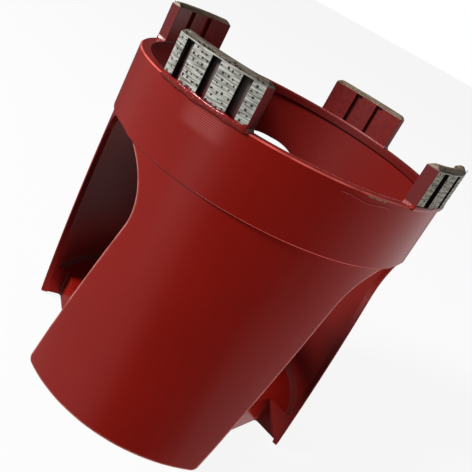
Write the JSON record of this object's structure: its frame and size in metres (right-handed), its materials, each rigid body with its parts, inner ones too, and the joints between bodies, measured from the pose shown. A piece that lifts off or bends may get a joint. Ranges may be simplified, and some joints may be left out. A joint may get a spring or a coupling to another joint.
{
  "type": "diamond core bit",
  "caption": "Dry diamond core bit: a slotted steel barrel on a threaded base, with grooved diamond segments brazed on its rim.",
  "frame": {"origin": "centre of the underside, on the axis of rotation", "axes": "+Z along the axis of rotation, from the threaded base to the cutting end; -Y faces the leg in front in the picture"},
  "size_m": [0.081, 0.081, 0.0887],
  "materials": {
    "painted_steel": "glossy red paint over turned steel",
    "diamond_segment": "bare sintered metal with diamond grit"
  },
  "bodies": {
    "root": {"barrel": "painted_steel", "base": "painted_steel", "segment_1": "diamond_segment", "segment_2": "diamond_segment", "segment_3": "diamond_segment", "segment_4": "diamond_segment"}
  },
  "joints": []
}
